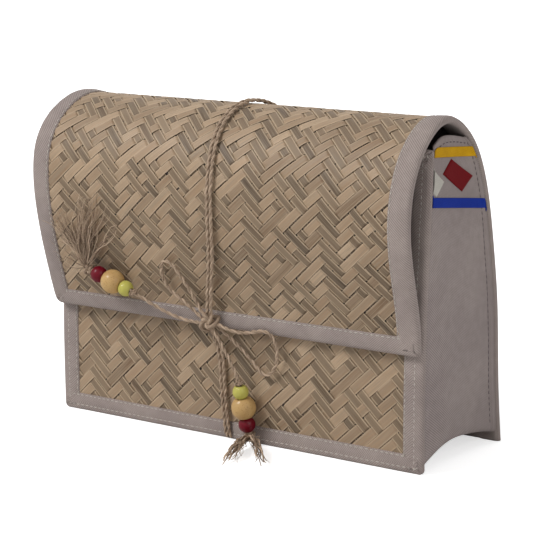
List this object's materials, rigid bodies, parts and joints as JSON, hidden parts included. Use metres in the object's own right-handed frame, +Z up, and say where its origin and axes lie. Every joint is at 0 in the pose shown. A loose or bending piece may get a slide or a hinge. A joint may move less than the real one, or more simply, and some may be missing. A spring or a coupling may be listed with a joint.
{
  "type": "bamboo clutch",
  "caption": "Flap-over clutch bag of diamond-twill woven bamboo mat with bound edges, cloth gusset and a beaded twine tie.",
  "frame": {"origin": "on the surface the bag stands on, in the middle of its length and of its whole depth, flap included", "axes": "+X along the bag to the right as seen from the flap's side, +Y from the front to the back, +Z up"},
  "size_m": [0.22, 0.1133, 0.168],
  "materials": {
    "bamboo_mat": "woven split bamboo, satin",
    "lining_cloth": "plain cotton, matt",
    "tape_cloth": "cotton twill tape, matt",
    "gusset_cloth": "cotton twill, matt",
    "yellow_ribbon": "woven ribbon, slight sheen",
    "blue_ribbon": "woven ribbon, slight sheen",
    "red_felt": "cloth patch, matt",
    "white_felt": "cloth patch, matt",
    "jute": "two-ply twine, hairy",
    "yellow_paint": "painted wood bead, gloss",
    "natural_wood": "lacquered wood bead, gloss",
    "red_paint": "painted wood bead, gloss"
  },
  "bodies": {
    "root": {"back_flap_lining": "lining_cloth", "back_flap_mat": "bamboo_mat", "back_foot_binding": "tape_cloth", "blue_ribbon_left": "blue_ribbon", "blue_ribbon_right": "blue_ribbon", "bow_loop_left": "jute", "bow_loop_right": "jute", "flap_binding": "tape_cloth", "front_binding": "tape_cloth", "front_lining": "lining_cloth", "front_mat": "bamboo_mat", "gusset": "gusset_cloth", "natural_bead_down": "natural_wood", "natural_bead_left": "natural_wood", "red_bead_down": "red_paint", "red_bead_left": "red_paint", "red_diamond_left": "red_felt", "red_diamond_right": "red_felt", "stopper_knot_down": "jute", "stopper_knot_left": "jute", "tassel_down": "jute", "tassel_left": "jute", "tie_end_down": "jute", "tie_end_left": "jute", "tie_knot": "jute", "white_diamond_left": "white_felt", "white_diamond_right": "white_felt", "wrap_twine_left": "jute", "wrap_twine_right": "jute", "yellow_bead_down": "yellow_paint", "yellow_bead_left": "yellow_paint", "yellow_ribbon_left": "yellow_ribbon", "yellow_ribbon_right": "yellow_ribbon"}
  },
  "joints": []
}
